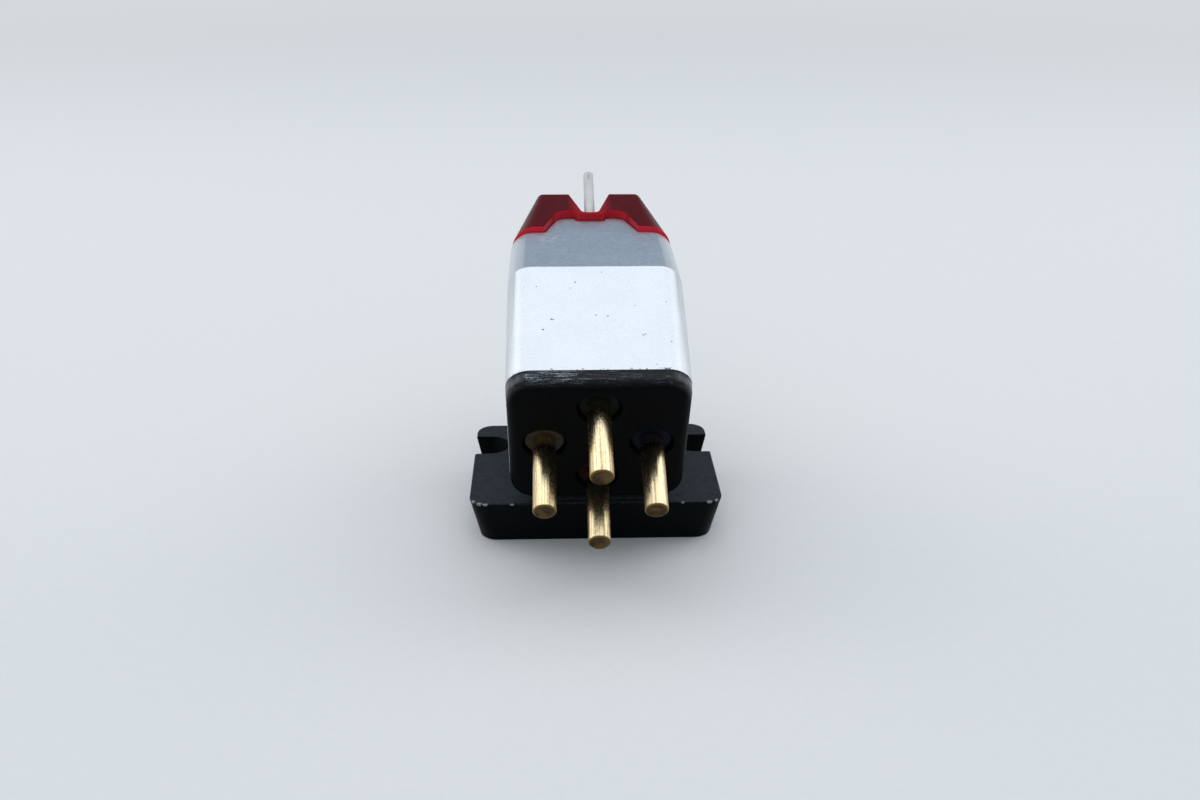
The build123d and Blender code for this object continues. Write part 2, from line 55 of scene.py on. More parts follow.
@dataclass(frozen=True)
class Layout:
    """Sizes and places that the sub-assemblies share, in millimetres."""

    tilt: float = 26.0
    axis_length: float = 21.6
    reach: float = 9.525
    plate: float = 2.65
    seat_step: float = 0.17
    half_width: float = 4.9
    above: float = 4.9
    below: float = 5.1
    wall: float = 0.6
    plug_proud: float = 1.0
    slope: float = 7.65
    level: float = 6.7
    pivot_setback: float = 0.28

    @property
    def cosine(self) -> float:
        """Share of the axis that runs along Y."""
        return math.cos(math.radians(self.tilt))

    @property
    def sine(self) -> float:
        """Share of the axis that runs along Z."""
        return math.sin(math.radians(self.tilt))

    @property
    def rear(self) -> Vector:
        """Middle of the rear plug's face."""
        z = self.plate + self.seat_step + self.below * self.cosine
        return Vector((0, self.reach - self.axis_length * self.cosine, z))

    def point(self, x: float, depth: float, height: float) -> Vector:
        """Row-frame place of a point given by its distances across, along and over the tilted axis."""
        return self.rear + Vector((x, depth * self.cosine - height * self.sine,
                                   depth * self.sine + height * self.cosine))

    @property
    def fold(self) -> Vector:
        """Place of the fold between the sloped and the level face."""
        return self.point(0, self.plug_proud + self.slope, self.above)

    @property
    def front_y(self) -> float:
        """Front plane of the shell."""
        return self.fold.y + self.level

    @property
    def pivot_depth(self) -> float:
        """Depth of the cantilever's pivot along the axis."""
        return (self.front_y - self.pivot_setback - self.rear.y) / self.cosine

    def belly_z(self, y: float) -> float:
        """Level of the shell's belly at a place along Y."""
        start = self.point(0, 0, -self.below)
        return start.z + (y - start.y) * math.tan(math.radians(self.tilt))


LAYOUT = Layout()


class Pick(Enum):
    """What a selection picks on a mesh."""

    POINTS = "VERT"
    EDGES = "EDGE"
    FACES = "FACE"


class Shape:
    """One mesh on the bench, shaped by operators in millimetres."""

    def __init__(self, obj: bpy.types.Object) -> None:
        """Takes over a mesh object."""
        self.obj = obj

    @staticmethod
    def clear() -> None:
        """Deselects everything."""
        bpy.ops.object.select_all(action="DESELECT")

    @classmethod
    def block(cls, low: Triple, high: Triple) -> "Shape":
        """Starts from a box.

        Args:
            low: Lowest corner.
            high: Highest corner.

        Returns:
            The new shape.
        """
        cls.clear()
        middle = (Vector(low) + Vector(high)) / 2
        bpy.ops.mesh.primitive_cube_add(size=1, location=middle)
        shape = cls(bpy.context.object)
        shape.obj.scale = Vector(high) - Vector(low)
        return shape.settle()

    @classmethod
    def rod(cls, radius: float, start: float, end: float, place: tuple[float, float] = (0, 0),
            sides: int = 64, upright: bool = False) -> "Shape":
        """Starts from a round bar along Y, or along Z.

        Args:
            radius: Radius of the bar.
            start: First place along it.
            end: Last place along it.
            place: X and Z of its middle, or X and Y of an upright one.
            sides: Number of flats.
            upright: Stands the bar along Z.

        Returns:
            The new shape.
        """
        cls.clear()
        middle = (start + end) / 2
        bpy.ops.mesh.primitive_cylinder_add(
            vertices=sides, radius=radius, depth=end - start,
            location=(*place, middle) if upright else (place[0], middle, place[1]),
            rotation=(0 if upright else math.pi / 2, 0, 0))
        return cls(bpy.context.object).settle()

    def hold(self) -> None:
        """Makes this the only selected object."""
        self.clear()
        self.obj.select_set(True)
        bpy.context.view_layer.objects.active = self.obj

    def settle(self) -> "Shape":
        """Moves the object's own transform into its mesh.

        Returns:
            The shape.
        """
        self.hold()
        bpy.ops.object.transform_apply(location=True, rotation=True, scale=True)
        return self

    def pick(self, what: Pick, test: Callable[..., bool] = lambda *_: True) -> "Shape":
        """Enters edit mode with the chosen elements selected.

        Args:
            what: Kind of element.
            test: Takes a point's place, an edge's two ends, or a face's middle and normal.

        Returns:
            The shape, in edit mode.
        """
        self.hold()
        bpy.ops.object.mode_set(mode="EDIT")
        bpy.ops.mesh.select_mode(type=what.value)
        bpy.ops.mesh.select_all(action="DESELECT")
        mesh = bmesh.from_edit_mesh(self.obj.data)
        if what is Pick.POINTS:
            chosen = [v for v in mesh.verts if test(v.co)]
        elif what is Pick.EDGES:
            chosen = [e for e in mesh.edges if test(e.verts[0].co, e.verts[1].co)]
        else:
            chosen = [f for f in mesh.faces if test(f.calc_center_median(), f.normal)]
        for element in chosen:
            element.select_set(True)
        bmesh.update_edit_mesh(self.obj.data)
        return self

    def faces(self, axis: Triple, reach: float = math.inf) -> "Shape":
        """Picks the faces that look along an axis, with their middles within a reach of the Y axis."""
        return self.pick(Pick.FACES, lambda centre, facing: facing.dot(Vector(axis)) > FACING
                         and centre.xz.length < reach)

    def done(self) -> "Shape":
        """Goes back to object mode."""
        bpy.ops.object.mode_set(mode="OBJECT")
        return self

    def bevel(self, width: float, segments: int) -> "Shape":
        """Rounds the selected edges."""
        bpy.ops.mesh.bevel(offset=width, segments=segments, profile=0.5, affect="EDGES",
                           clamp_overlap=False)
        return self.done()

    def move(self, step: Triple) -> "Shape":
        """Moves the selected elements."""
        bpy.ops.transform.translate(value=step)
        return self.done()

    def widen(self, share: Triple, centre: Triple = (0, 0, 0)) -> "Shape":
        """Scales the selected elements about a centre."""
        bpy.ops.transform.resize(value=share, center_override=centre)
        return self.done()

    def inset(self, width: float, depth: float = 0.0) -> "Shape":
        """Insets the selected faces, and sinks them by a depth."""
        bpy.ops.mesh.inset(thickness=width, depth=-depth)
        return self.done()

    def extrude(self, step: Triple) -> "Shape":
        """Extrudes what is selected by a step."""
        bpy.ops.mesh.extrude_region_move(TRANSFORM_OT_translate={"value": step})
        return self.done()

    def slice(self, place: Vector, normal: Triple, keep_all: bool = False) -> "Shape":
        """Cuts the mesh by a plane, and closes it where the outer side is taken away.

        Args:
            place: Point on the plane.
            normal: Direction of the side that is taken away.
            keep_all: Leaves both sides, joined along new edges.

        Returns:
            The shape.
        """
        self.pick(Pick.FACES)
        bpy.ops.mesh.bisect(plane_co=place, plane_no=normal, use_fill=not keep_all,
                            clear_outer=not keep_all, threshold=1e-5)
        return self.done()

    def modify(self, kind: str, **settings: object) -> "Shape":
        """Adds a modifier, sets it and applies it.

        Args:
            kind: Type of the modifier.
            **settings: Its properties.

        Returns:
            The shape.
        """
        self.hold()
        bpy.ops.object.modifier_add(type=kind)
        modifier = self.obj.modifiers[-1]
        for name, value in settings.items():
            setattr(modifier, name, value)
        bpy.ops.object.modifier_apply(modifier=modifier.name)
        return self

    def cut(self, *tools: "Shape") -> "Shape":
        """Cuts other shapes out of this one, and removes them."""
        return self._combine("DIFFERENCE", tools)

    def fuse(self, *others: "Shape") -> "Shape":
        """Joins other shapes to this one as one skin, and removes them."""
        return self._combine("UNION", others)

    def _combine(self, operation: str, others: tuple["Shape", ...]) -> "Shape":
        """Runs one boolean after another.

        Args:
            operation: What each boolean does.
            others: Shapes that it takes, and removes.

        Returns:
            The shape.
        """
        for other in others:
            self.modify("BOOLEAN", operation=operation, solver="EXACT", object=other.obj)
            bpy.data.objects.remove(other.obj)
        return self.tidy()

    def tidy(self) -> "Shape":
        """Merges doubles and joins the flat faces that a boolean has split.

        Returns:
            The shape.
        """
        self.pick(Pick.FACES)
        bpy.ops.mesh.remove_doubles(threshold=1e-4)
        bpy.ops.mesh.dissolve_limited(angle_limit=math.radians(0.2))
        return self.done()

    def soften(self, width: float, angle: float, segments: int = 3) -> "Shape":
        """Rounds every edge that turns by more than an angle, in degrees."""
        return self.modify("BEVEL", width=width, segments=segments, limit_method="ANGLE",
                           angle_limit=math.radians(angle), use_clamp_overlap=True,
                           miter_outer="MITER_ARC", harden_normals=False)

    def tilted(self) -> "Shape":
        """Moves a shape made along the axis to its tilted place.

        Returns:
            The shape.
        """
        self.obj.rotation_euler = (math.radians(LAYOUT.tilt), 0, 0)
        self.obj.location = LAYOUT.rear
        return self.settle()

    def copy(self, step: Triple) -> "Shape":
        """Copies the shape with a mesh of its own.

        Args:
            step: Way that the copy is moved.

        Returns:
            The copy.
        """
        self.hold()
        bpy.ops.object.duplicate(linked=False)
        twin = Shape(bpy.context.object)
        twin.obj.location = step
        return twin.settle()

    def finish(self, name: str, coat: bpy.types.Material, body: str, nodes: list[str], slot: str,
               angle: float = 30.0) -> bpy.types.Object:
        """Brings the shape to metres, shades and dresses it, and ties it to the frame.

        Args:
            name: Name of the piece.
            coat: Its material.
            body: Body that it rides.
            nodes: CAD nodes that it stands for.
            slot: Material slot of the record; not used.
            angle: Edges that turn less than this shade smooth, in degrees.

        Returns:
            The finished object.
        """
        self.obj.scale = (MM, MM, MM)
        self.settle()
        self.obj.name = name
        self.obj.data.name = name
        bpy.ops.object.shade_smooth_by_angle(angle=math.radians(angle))
        self.modify("WEIGHTED_NORMAL", keep_sharp=True, weight=60)
        self.obj.data.materials.clear()
        self.obj.data.materials.append(coat)
        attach(self.obj, body)
        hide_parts(*nodes)
        log.info("%s: %d faces", name, len(self.obj.data.polygons))
        return self.obj


class Value:
    """A socket that takes part in arithmetic: each operator adds a Math node."""

    def __init__(self, graph: "Graph", socket: bpy.types.NodeSocket) -> None:
        """Wraps an output socket of a graph."""
        self.graph = graph
        self.socket = socket

    def _maths(self, operation: str, first: object, second: object = 0.0) -> "Value":
        """Adds one Math node."""
        return self.graph.add("ShaderNodeMath", {"operation": operation}, {0: first, 1: second})

    def __add__(self, other: object) -> "Value":
        """Sum."""
        return self._maths("ADD", self, other)

    __radd__ = __add__

    def __mul__(self, other: object) -> "Value":
        """Product."""
        return self._maths("MULTIPLY", self, other)

    __rmul__ = __mul__

    def __sub__(self, other: object) -> "Value":
        """Difference."""
        return self._maths("SUBTRACT", self, other)

    def __rsub__(self, other: object) -> "Value":
        """Difference, with this value taken away."""
        return self._maths("SUBTRACT", other, self)

    def __lt__(self, other: object) -> "Value":
        """One where this value is the smaller."""
        return self._maths("LESS_THAN", self, other)

    def __abs__(self) -> "Value":
        """Size without sign."""
        return self._maths("ABSOLUTE", self)

    def least(self, other: object) -> "Value":
        """The smaller of two."""
        return self._maths("MINIMUM", self, other)

    def most(self, other: object) -> "Value":
        """The greater of two."""
        return self._maths("MAXIMUM", self, other)

    def fade(self, start: float, end: float) -> "Value":
        """Rises smoothly from 0 at start to 1 at end, or falls where start is the greater."""
        low, high, first, last = (start, end, 0.0, 1.0) if start < end else (end, start, 1.0, 0.0)
        return self.graph.add(
            "ShaderNodeMapRange", {"interpolation_type": "SMOOTHSTEP", "clamp": True},
            {"Value": self, "From Min": low, "From Max": high, "To Min": first, "To Max": last})

    def parts(self) -> tuple["Value", "Value", "Value"]:
        """The three parts of a vector."""
        outputs = self.graph.add("ShaderNodeSeparateXYZ", {}, {"Vector": self}).socket.node.outputs
        return tuple(Value(self.graph, outputs[axis]) for axis in "XYZ")


class Graph:
    """Node tree of one finish, from object coordinates to a Principled shader."""

    def __init__(self, name: str) -> None:
        """Starts a material with an empty tree and a Principled shader.

        Args:
            name: Name of the material.
        """
        self.material = bpy.data.materials.new(name)
        self.material.use_nodes = True
        self.tree = self.material.node_tree
        self.tree.nodes.clear()
        self.shader = self.tree.nodes.new("ShaderNodeBsdfPrincipled")
        self.output = self.tree.nodes.new("ShaderNodeOutputMaterial")
        self.tree.links.new(self.shader.outputs["BSDF"], self.output.inputs["Surface"])

    @staticmethod
    def _socket(sockets: bpy.types.bpy_prop_collection, key: int | str) -> bpy.types.NodeSocket:
        """Finds a socket by its index, identifier or name."""
        return sockets[key] if isinstance(key, int) else next(
            s for s in sockets if s.identifier == key or (s.enabled and s.name == key))

    def add(self, kind: str, settings: dict[str, object], sockets: dict[int | str, object],
            out: int | str = 0) -> Value:
        """Adds a node.

        Args:
            kind: Type of the node.
            settings: Its properties, set first.
            sockets: Values or links of its inputs.
            out: Output that is passed on.

        Returns:
            The output, ready for arithmetic.
        """
        node = self.tree.nodes.new(kind)
        for name, value in settings.items():
            setattr(node, name, value)
        for key, value in sockets.items():
            self.feed(self._socket(node.inputs, key), value)
        return Value(self, self._socket(node.outputs, out))

    def feed(self, socket: bpy.types.NodeSocket, value: object) -> None:
        """Links a value to a socket, or sets the socket's own number or colour.

        Args:
            socket: Input of a node.
            value: Wrapped socket, number or colour.
        """
        if isinstance(value, Value):
            self.tree.links.new(value.socket, socket)
        elif socket.type == "RGBA":
            socket.default_value = (*value, 1.0)
        else:
            socket.default_value = value

    def place(self, tilted: bool = False) -> Value:
        """Object coordinates in millimetres.

        Args:
            tilted: Turns them from the row frame to the tilted axis.

        Returns:
            The coordinates.
        """
        plain = self.add("ShaderNodeTexCoord", {}, {}, "Object")
        scaled = self.add("ShaderNodeVectorMath", {"operation": "SCALE"},
                          {"Vector": plain, "Scale": 1 / MM})
        if not tilted:
            return scaled
        return self.add("ShaderNodeMapping", {"vector_type": "TEXTURE"},
                        {"Vector": scaled, "Location": tuple(LAYOUT.rear),
                         "Rotation": (math.radians(LAYOUT.tilt), 0.0, 0.0)})

    def stretch(self, place: Value, share: Triple) -> Value:
        """Scales coordinates by a share on each axis."""
        return self.add("ShaderNodeVectorMath", {"operation": "MULTIPLY"}, {0: place, 1: share})

    def facing(self) -> Value:
        """Direction that the surface faces."""
        return self.add("ShaderNodeNewGeometry", {}, {}, "Normal")

    def noise(self, place: Value, scale: float, detail: float = 2.0, rough: float = 0.5) -> Value:
        """Soft noise from 0 to 1, with a scale in cycles to the millimetre."""
        return self.add("ShaderNodeTexNoise", {},
                        {"Vector": place, "Scale": scale, "Detail": detail, "Roughness": rough}, "Fac")

    def blend(self, share: Value | float, first: object, second: object) -> Value:
        """Mixes two colours."""
        return self.add("ShaderNodeMix", {"data_type": "RGBA"},
                        {"Factor_Float": share, "A_Color": first, "B_Color": second}, "Result_Color")

    def distance(self, place: Value, spot: Triple) -> Value:
        """Distance from a spot."""
        return self.add("ShaderNodeVectorMath", {"operation": "DISTANCE"}, {0: place, 1: spot}, "Value")

    def near(self, place: Value, spot: Triple, inner: float, outer: float) -> Value:
        """One within a distance of a spot, fading to nothing further out."""
        return self.distance(place, spot).fade(outer, inner)

    def nearest(self, place: Value, spots: list[tuple[Triple, float, float]]) -> Value:
        """One near any of several spots, each with its inner and outer distance."""
        return functools.reduce(Value.most, [self.near(place, *spot) for spot in spots])

    def specks(self, place: Value, scale: float, size: float, share: float) -> Value:
        """Sparse small dots.

        Args:
            place: Coordinates.
            scale: Cells to the millimetre.
            size: Radius of a dot, in cells.
            share: Share of the cells that hold a dot.

        Returns:
            A mask that is one on a dot.
        """
        cell = self.add("ShaderNodeTexVoronoi", {"feature": "F1"},
                        {"Vector": place, "Scale": scale}, "Distance")
        tint = Value(self, cell.socket.node.outputs["Color"]).parts()[0]
        return cell.fade(size, size * 0.6) * (tint < share)

    def bump(self, height: Value, depth: float, strength: float = 1.0) -> Value:
        """Shading normal of a height map, with its depth in millimetres and the share that shows."""
        return self.add("ShaderNodeBump", {},
                        {"Height": height, "Distance": depth * MM, "Strength": strength})

    def glow(self, share: Value, tone: Triple) -> None:
        """Mixes an even tone over the shader.

        Args:
            share: Share of the tone.
            tone: Its colour, at a strength of 1.
        """
        even = self.add("ShaderNodeEmission", {}, {"Color": tone})
        plain = Value(self, self.shader.outputs["BSDF"])
        mixed = self.add("ShaderNodeMixShader", {}, {0: share, 1: plain, 2: even})
        self.tree.links.new(mixed.socket, self.output.inputs["Surface"])
        self.material.cycles.emission_sampling = "NONE"

    def seen(self) -> Value:
        """One for the rays that show a surface, straight, mirrored or through glass."""
        camera, glossy, through = (self.add("ShaderNodeLightPath", {}, {}, f"Is {kind} Ray")
                                   for kind in ("Camera", "Glossy", "Transmission"))
        return camera.most(glossy).most(through)

    def shade(self, **sockets: object) -> bpy.types.Material:
        """Sets the shader's sockets.

        Args:
            **sockets: Their values by name, with spaces written as underscores.

        Returns:
            The material.
        """
        for name, value in sockets.items():
            self.feed(self.shader.inputs[name.replace("_", " ")], value)
        return self.material


@dataclass(frozen=True)
class SatinSilver:
    """Fine-blasted silver skin of the shell, with a few dirt specks, and the level face painted darker and
    bluer as painted shade and painted reflection.
    """

    tone: Triple = (0.815, 0.83, 0.845)
    deep: Triple = (0.652, 0.668, 0.69)
    # Painted shade and painted reflection: darker, bluer tones of the same silver, used on the level face
    level_painted_reflection: Triple = (0.565, 0.62, 0.668)
    level_painted_shade: Triple = (0.37, 0.42, 0.478)
    dirt: Triple = (0.10, 0.09, 0.075)
    roughness: float = 0.40
    # Middle of a lighter mottled patch on the level face, in plan
    lighter_patch_spot: Triple = (-2.5, 1.1, 0.0)
    spots: tuple[Triple, ...] = (
        (-2.46, 4.63, 0.055), (-2.36, 4.60, 0.04), (-2.90, 3.87, 0.055), (-0.06, 4.91, 0.04),
        (0.56, 4.84, 0.045), (2.40, 3.43, 0.045), (2.52, 3.50, 0.035), (3.86, 2.97, 0.055),
        (-1.14, 7.40, 0.045), (3.76, 5.91, 0.04), (-3.26, 7.11, 0.035), (-1.42, 6.96, 0.03),
        (2.98, 1.36, 0.03), (3.95, 4.35, 0.04))

    def material(self) -> bpy.types.Material:
        """Builds the finish.

        Returns:
            The material.
        """
        g = Graph("shell_silver")
        place = g.place(tilted=True)
        grain = g.noise(place, 9.0, 3.0, 0.6)
        mottle = g.noise(place, 3.2, 3.0, 0.6)
        cloud = g.noise(place, 0.45, 2.0)
        plan = g.stretch(g.place(), (1.0, 1.0, 0.0))
        lighter_patch = g.near(plan, self.lighter_patch_spot, 0.2, 1.2) * mottle.fade(0.47, 0.6)
        seam = place.parts()[1].fade(1.16, 1.04) * g.noise(place, 6.0, 2.0).fade(0.60, 0.68)
        spots = g.nearest(place, [((x, depth, LAYOUT.above), size * 0.7, size * 1.3)
                                  for x, depth, size in self.spots])
        dirt = g.specks(place, 1.1, 0.045, 0.4).most(seam).most(spots)
        level = g.facing().parts()[2].fade(0.93, 0.97)
        patchy = mottle.fade(0.3, 0.7) * (0.15 + level * 0.3)
        shade = grain.fade(0.3, 0.7) * 0.45 + patchy + cloud.fade(0.35, 0.65) * 0.1 + 0.15
        # The upward-facing level face takes the painted shade and reflection tones, the slope the plain
        # silver
        skin = g.blend(level, g.blend(shade, self.deep, self.tone), g.blend(shade, self.level_painted_shade, self.level_painted_reflection))
        # Lighter mottled patch on the level face, mixed towards the plain silver
        skin = g.blend(level * lighter_patch * 0.5, skin, self.tone)
        colour = g.blend(dirt * 0.85, skin, self.dirt)
        rough = self.roughness + (mottle - 0.5) * 0.10 + (grain - 0.5) * 0.12 + dirt * 0.3 + level * 0.06
        return g.shade(Base_Color=colour, Metallic=0.92, Roughness=rough,
                       Normal=g.bump(grain * 0.6 + mottle * 0.4, 0.02, 0.7))


@dataclass(frozen=True)
class BlackCasting:
    """Satin black paint on the die-cast flange, chipped to bright metal on its rear edge, with painted light
    making the upward faces lighter.
    """

    paint: Triple = (0.0028, 0.003, 0.0033)
    # Lighter tone of the same paint, painted light on the upward faces
    painted_top_light_tone: Triple = (0.033, 0.038, 0.043)
    metal: Triple = (0.20, 0.21, 0.22)
    chip_squeeze: float = 0.6
    chips: tuple[tuple[float, float, float, float], ...] = (
        (-7.12, -7.38, 2.62, 0.30), (-6.75, -7.68, 2.62, 0.30), (-6.35, -7.76, 2.62, 0.20),
        (-4.81, -7.78, 2.62, 0.15), (4.94, -7.78, 2.62, 0.14), (6.50, -7.74, 2.62, 0.24),
        (6.98, -7.55, 2.62, 0.26), (-7.22, -1.28, 2.62, 0.2))

    def material(self) -> bpy.types.Material:
        """Builds the finish.

        Returns:
            The material.
        """
        g = Graph("flange_black")
        place = g.place()
        _, y, z = place.parts()
        peel = g.noise(place, 5.0, 3.0, 0.6)
        cloud = g.noise(place, 2.4, 4.0, 0.65)
        upward = g.facing().parts()[2]
        flake = g.noise(place, 9.0, 4.0, 0.75)
        squeezed = g.stretch(place, (self.chip_squeeze, 1.0, 1.0))
        worn = g.nearest(squeezed, [((spot_x * self.chip_squeeze, spot_y, spot_z), 0.0, size)
                                    for spot_x, spot_y, spot_z, size in self.chips])
        edge = z.fade(2.46, 2.6) * y.fade(-7.6, -7.72)
        chip = (worn * 0.9 + flake).fade(0.98, 1.06).most((edge + flake).fade(1.60, 1.68))
        # Painted light: upward faces lighter than the rest, mottled by noise
        painted_top_light = upward.fade(0.4, 0.95) * (0.55 + cloud.fade(0.35, 0.65) * 0.4 + peel.fade(0.35, 0.65) * 0.4)
        colour = g.blend(chip, g.blend(painted_top_light, self.paint, self.painted_top_light_tone), self.metal)
        rough = 0.40 + (cloud - 0.5) * 0.16 + (peel - 0.5) * 0.12 - chip * 0.1
        return g.shade(Base_Color=colour, Metallic=chip * 0.8, Roughness=rough, Specular_IOR_Level=0.045,
                       Normal=g.bump(peel + chip * -0.6, 0.014, 0.5))


@dataclass(frozen=True)
class BlackMoulding:
    """Satin black moulding of the rear plug, scuffed along its upper edge."""

    base: Triple = (0.0028, 0.0029, 0.0031)
    scuffed: Triple = (0.30, 0.33, 0.36)

    def material(self) -> bpy.types.Material:
        """Builds the finish.

        Returns:
            The material.
        """
        g = Graph("plug_black")
        place = g.place(tilted=True)
        x, depth, height = place.parts()
        grain = g.noise(place, 7.0, 3.0, 0.6)
        cloud = g.noise(place, 0.7, 2.0)
        streak = g.noise(g.stretch(place, (0.55, 6.0, 7.0)), 1.6, 4.0, 0.7)
        crumb = g.noise(place, 11.0, 4.0, 0.75)
        band = height.fade(4.15, 4.5) * depth.fade(0.02, 0.4)
        side = x.fade(0.5, -2.5) * 0.05 - abs(x).fade(3.7, 4.3) * 0.2
        rubbed = band * (0.35 + x.fade(-0.4, -1.6) * depth.fade(0.15, 0.45) * 0.65)
        scuff = (streak * 0.65 + crumb * 0.45 + side).fade(0.56, 0.70) * rubbed
        corner = height.fade(3.2, 4.1) * abs(x).fade(3.4, 4.2) * depth.fade(0.02, 0.25)
        handled = height.fade(4.0, 4.4) * depth.fade(0.0, 0.35) * 0.36
        colour = g.blend(scuff, self.base, self.scuffed)
        rough = 0.42 + (cloud - 0.5) * 0.14 + (grain - 0.5) * 0.1 + scuff * 0.15
        return g.shade(Base_Color=colour, Roughness=rough, Specular_IOR_Level=0.02,
                       Coat_Weight=handled.most(corner * 0.9), Coat_Roughness=0.24,
                       Normal=g.bump(grain * 0.3 + (streak + crumb) * band, 0.05, 0.8))


@dataclass(frozen=True)
class DrawnGold:
    """Gold plate on drawn pins, with fine lengthwise marks, painted shade on the flanks, and cut ends
    darkened by painted shade, darkest in the middle.
    """

    gold: Triple = (0.90, 0.69, 0.355)
    pale: Triple = (0.965, 0.845, 0.59)
    # Colour of the lengthwise marks, and of the painted shade on the flanks
    stain_and_flank_shade: Triple = (0.36, 0.20, 0.06)
    # Painted shade on the cut ends: dark in the middle, lighter at the rim, as if dished
    cut: Triple = (0.036, 0.021, 0.007)
    painted_end_rim: Triple = (0.25, 0.148, 0.044)

    def material(self) -> bpy.types.Material:
        """Builds the finish.

        Returns:
            The material.
        """
        g = Graph("pin_gold")
        place = g.place(tilted=True)
        depth = place.parts()[1]
        line = g.noise(g.stretch(place, (11.0, 0.10, 11.0)), 1.0, 3.0, 0.75)
        speckle = g.noise(g.stretch(place, (20.0, 5.0, 20.0)), 1.0, 3.0, 0.7)
        cloud = g.noise(g.stretch(place, (5.0, 0.2, 5.0)), 1.0, 2.0)
        # Painted shade: the sideways-facing flanks of the pins darkened through the mark mask
        flank = abs(g.facing().parts()[0]).fade(0.45, 0.95)
        stain_and_flank_shade = (line * 0.7 + speckle * 0.3 + flank * 0.10).fade(0.50, 0.62) * 0.72
        tarnish = g.noise(place, 1.1, 3.0, 0.6).fade(0.40, 0.64)
        flat = g.stretch(place, (1.0, 0.0, 1.0))
        radius = functools.reduce(Value.least, [g.distance(flat, terminal.step) for terminal in Terminal])
        # Painted shade on the cut ends, from the dark middle to the lighter rim, with tarnish patches
        start = RearPlug.pin_chamfer - RearPlug.pin_exposed
        end = depth.fade(start + 0.01, start - 0.03)
        edge = (radius.fade(0.46, 0.62) * 0.8).most(tarnish * 0.45)
        drawn = g.blend(stain_and_flank_shade, g.blend(cloud.fade(0.3, 0.7) * 0.4 + 0.25, self.gold, self.pale), self.stain_and_flank_shade)
        colour = g.blend(end, drawn, g.blend(edge, self.cut, self.painted_end_rim))
        rough = 0.13 + speckle * 0.1 + stain_and_flank_shade * 0.12 + end * 0.2
        return g.shade(Base_Color=colour, Metallic=1.0, Roughness=rough,
                       Normal=g.bump(line * 0.6 + speckle * 0.4, 0.026, 1.0))


@dataclass(frozen=True)
class DiscPaint:
    """Satin paint of a channel disc, clouded with dirt."""

    name: str
    colour: Triple

    def material(self) -> bpy.types.Material:
        """Builds the finish.

        Returns:
            The material.
        """
        g = Graph(self.name)
        place = g.place(tilted=True)
        cloud = g.noise(place, 2.2, 3.0)
        grain = g.noise(place, 12.0, 2.0)
        dark = tuple(part * 0.55 for part in self.colour)
        colour = g.blend(cloud.fade(0.3, 0.7), dark, self.colour)
        return g.shade(Base_Color=colour, Roughness=0.45 + (cloud - 0.5) * 0.2, Specular_IOR_Level=0.06,
                       Normal=g.bump(grain, 0.008, 0.4))


@dataclass(frozen=True)
class RubyPlastic:
    """Deep-red translucent plastic of the stylus holder, with painted light: bright red on the rear-facing
    step walls and lighter where the plastic is thin.
    """

    deep: Triple = (0.074, 0.0012, 0.002)
    # Painted light: bright red for the lit, rear-facing walls and the thin places
    bright: Triple = (0.78, 0.034, 0.054)

    def material(self) -> bpy.types.Material:
        """Builds the finish.

        Returns:
            The material.
        """
        g = Graph("holder_red")
        place = g.place()
        x, y, z = place.parts()
        flow = g.noise(g.stretch(place, (2.0, 0.5, 2.0)), 1.0, 3.0)
        facing = g.facing().parts()
        # Painted light: rear-facing walls of the step lit bright red, less so towards the front
        step = facing[1].fade(-0.12, -0.36) * facing[2].fade(0.6, 0.3) * (1 - y.fade(3.2, 5.0) * 0.35)
        # Painted light shining through the thin plastic near the middle of the top
        painted_glow_where_thin = abs(x).fade(1.6, 0.6) * z.fade(13.5, 15.5)
        polished = facing[2].fade(0.5, 0.1) * facing[1].fade(-0.3, 0.0)
        colour = g.blend(step.most(painted_glow_where_thin * 0.3).most(flow * 0.04), self.deep, self.bright)
        return g.shade(Base_Color=colour, Roughness=0.2 + flow * 0.1, Subsurface_Weight=0.35,
                       Subsurface_Radius=(1.0, 0.06, 0.06), Subsurface_Scale=0.8 * MM,
                       Specular_IOR_Level=0.02, Coat_Weight=polished * 0.22, Coat_Roughness=0.14,
                       Normal=g.bump(flow, 0.006, 0.3))


@dataclass(frozen=True)
class MetalFinish:
    """Bare or plated metal with a fine grain."""

    name: str
    tone: Triple
    shadow: Triple
    roughness: float = 0.3
    grain: Triple = (6.0, 6.0, 6.0)

    def material(self) -> bpy.types.Material:
        """Builds the finish.

        Returns:
            The material.
        """
        g = Graph(self.name)
        place = g.place(tilted=True)
        grain = g.noise(g.stretch(place, self.grain), 1.0, 3.0, 0.6)
        cloud = g.noise(place, 1.2, 2.0)
        colour = g.blend(cloud.fade(0.3, 0.7) * 0.6 + grain * 0.4, self.shadow, self.tone)
        return g.shade(Base_Color=colour, Metallic=1.0, Roughness=self.roughness + (grain - 0.5) * 0.2,
                       Normal=g.bump(grain, 0.006, 0.5))


@dataclass(frozen=True)
class PlainPolymer:
    """Moulded plastic or rubber with a matt grain."""

    name: str
    tone: Triple
    shadow: Triple
    roughness: float = 0.5

    def material(self) -> bpy.types.Material:
        """Builds the finish.

        Returns:
            The material.
        """
        g = Graph(self.name)
        place = g.place()
        grain = g.noise(place, 8.0, 3.0, 0.6)
        cloud = g.noise(place, 0.9, 2.0)
        colour = g.blend(cloud.fade(0.3, 0.7), self.shadow, self.tone)
        return g.shade(Base_Color=colour, Roughness=self.roughness + (grain - 0.5) * 0.2,
                       Normal=g.bump(grain, 0.01, 0.5))


